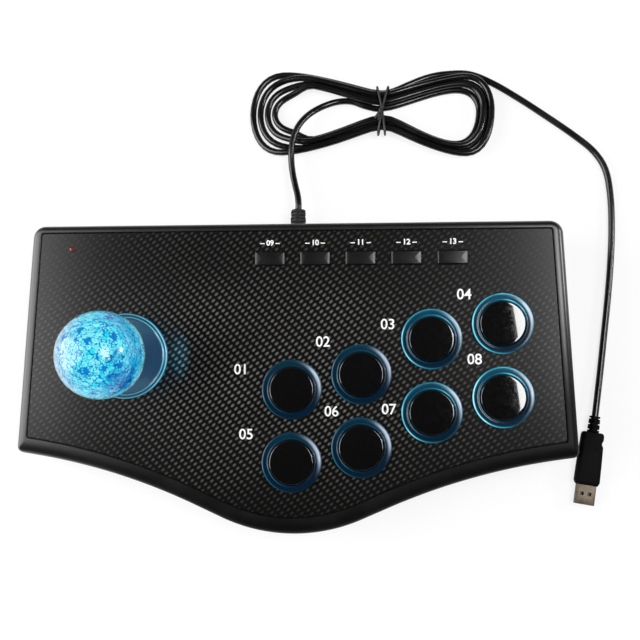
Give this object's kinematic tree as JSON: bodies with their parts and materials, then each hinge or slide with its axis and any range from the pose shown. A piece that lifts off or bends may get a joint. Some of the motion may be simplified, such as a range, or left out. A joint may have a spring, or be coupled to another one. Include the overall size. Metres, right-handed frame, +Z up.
{
  "type": "arcade fight stick",
  "caption": "Tabletop arcade controller: lit ball-top lever on a two-axis gimbal, wide round push buttons, small function keys on a tilted carbon-look panel, tied cord with a plug.",
  "frame": {"origin": "under the middle of the case, on the surface that the feet stand on", "axes": "+X to the player's right along the case's width, +Y away from the player to the rear wall, +Z up"},
  "size_m": [0.3735, 0.3031, 0.1197],
  "materials": {
    "shell": "matte moulded, glossy front lip",
    "carbon_panel": "carbon-weave print under clear coat",
    "base": "fine texture",
    "rubber": "satin",
    "steel": "satin",
    "board": "solder mask",
    "mode_lamp": "diffuse lens",
    "clear_blue": "clear, lit blue from inside",
    "black_moulding": "plain moulded",
    "plunger": "glossy",
    "key": "semi-gloss",
    "switch": "plain",
    "lamp": "clear epoxy",
    "ball": "clear with bubbles, lit blue from below",
    "chrome": "polished",
    "nylon": "plain moulded",
    "cord": "satin jacket",
    "tie": "plain",
    "plug_metal": "nickel plated"
  },
  "bodies": {
    "case": {"top_shell": "shell", "panel_plate": "carbon_panel", "base_cover": "base", "feet": "rubber", "case_screws": "steel", "ballast_plate": "steel", "ballast_screws": "steel", "main_board": "board", "board_screws": "steel", "mode_led": "mode_lamp", "button_rims": "clear_blue", "rim_locknuts": "black_moulding", "button_switches": "switch", "button_leds": "lamp", "key_board": "board", "key_switches": "switch", "key_board_screws": "steel", "stick_bezel": "clear_blue", "stick_housing": "black_moulding", "restrictor_gate": "nylon", "stick_switches": "switch", "stick_board": "board", "stick_screws": "steel", "cord_grommet": "cord", "cord_lead": "cord", "cord_hank": "cord", "cord_tail": "cord", "twist_tie": "tie", "plug_body": "cord", "plug_shell": "plug_metal", "plug_tongue": "nylon"},
    "gimbal": {"gimbal_ring": "black_moulding"},
    "lever": {"dust_dome": "plunger", "ball_top": "ball", "ball_core": "ball", "ball_led": "lamp", "lever_shaft": "chrome", "pivot_block": "nylon", "lever_spring": "steel", "actuator": "black_moulding", "retaining_clip": "steel"},
    "button_1": {"plunger_1": "plunger"},
    "button_2": {"plunger_2": "plunger"},
    "button_3": {"plunger_3": "plunger"},
    "button_4": {"plunger_4": "plunger"},
    "button_5": {"plunger_5": "plunger"},
    "button_6": {"plunger_6": "plunger"},
    "button_7": {"plunger_7": "plunger"},
    "button_8": {"plunger_8": "plunger"},
    "function_key_1": {"key_1": "key"},
    "function_key_2": {"key_2": "key"},
    "function_key_3": {"key_3": "key"},
    "function_key_4": {"key_4": "key"},
    "function_key_5": {"key_5": "key"}
  },
  "joints": [
    {"name": "lever_pitch", "type": "hinge", "parent": "case", "child": "gimbal", "pos_m": [-0.1009, 0.01388, 0.02765], "axis": [1, 0, 0], "range_deg": [-9, 9], "stiffness_Nm_per_rad": 0.8},
    {"name": "lever_roll", "type": "hinge", "parent": "gimbal", "child": "lever", "pos_m": [-0.1009, 0.01388, 0.02765], "axis": [0, 0.9962, 0.0872], "range_deg": [-9, 9], "stiffness_Nm_per_rad": 0.8},
    {"name": "button_1_press", "type": "slide", "parent": "case", "child": "button_1", "axis": [0, 0.0872, -0.9962], "range_m": [0, 0.0026], "stiffness_N_per_m": 250, "springref_m": -0.002},
    {"name": "button_2_press", "type": "slide", "parent": "case", "child": "button_2", "axis": [0, 0.0872, -0.9962], "range_m": [0, 0.0026], "stiffness_N_per_m": 250, "springref_m": -0.002},
    {"name": "button_3_press", "type": "slide", "parent": "case", "child": "button_3", "axis": [0, 0.0872, -0.9962], "range_m": [0, 0.0026], "stiffness_N_per_m": 250, "springref_m": -0.002},
    {"name": "button_4_press", "type": "slide", "parent": "case", "child": "button_4", "axis": [0, 0.0872, -0.9962], "range_m": [0, 0.0026], "stiffness_N_per_m": 250, "springref_m": -0.002},
    {"name": "button_5_press", "type": "slide", "parent": "case", "child": "button_5", "axis": [0, 0.0872, -0.9962], "range_m": [0, 0.0026], "stiffness_N_per_m": 250, "springref_m": -0.002},
    {"name": "button_6_press", "type": "slide", "parent": "case", "child": "button_6", "axis": [0, 0.0872, -0.9962], "range_m": [0, 0.0026], "stiffness_N_per_m": 250, "springref_m": -0.002},
    {"name": "button_7_press", "type": "slide", "parent": "case", "child": "button_7", "axis": [0, 0.0872, -0.9962], "range_m": [0, 0.0026], "stiffness_N_per_m": 250, "springref_m": -0.002},
    {"name": "button_8_press", "type": "slide", "parent": "case", "child": "button_8", "axis": [0, 0.0872, -0.9962], "range_m": [0, 0.0026], "stiffness_N_per_m": 250, "springref_m": -0.002},
    {"name": "function_key_1_press", "type": "slide", "parent": "case", "child": "function_key_1", "axis": [0, 0.0872, -0.9962], "range_m": [0, 0.0008], "stiffness_N_per_m": 400, "springref_m": -0.001},
    {"name": "function_key_2_press", "type": "slide", "parent": "case", "child": "function_key_2", "axis": [0, 0.0872, -0.9962], "range_m": [0, 0.0008], "stiffness_N_per_m": 400, "springref_m": -0.001},
    {"name": "function_key_3_press", "type": "slide", "parent": "case", "child": "function_key_3", "axis": [0, 0.0872, -0.9962], "range_m": [0, 0.0008], "stiffness_N_per_m": 400, "springref_m": -0.001},
    {"name": "function_key_4_press", "type": "slide", "parent": "case", "child": "function_key_4", "axis": [0, 0.0872, -0.9962], "range_m": [0, 0.0008], "stiffness_N_per_m": 400, "springref_m": -0.001},
    {"name": "function_key_5_press", "type": "slide", "parent": "case", "child": "function_key_5", "axis": [0, 0.0872, -0.9962], "range_m": [0, 0.0008], "stiffness_N_per_m": 400, "springref_m": -0.001}
  ]
}
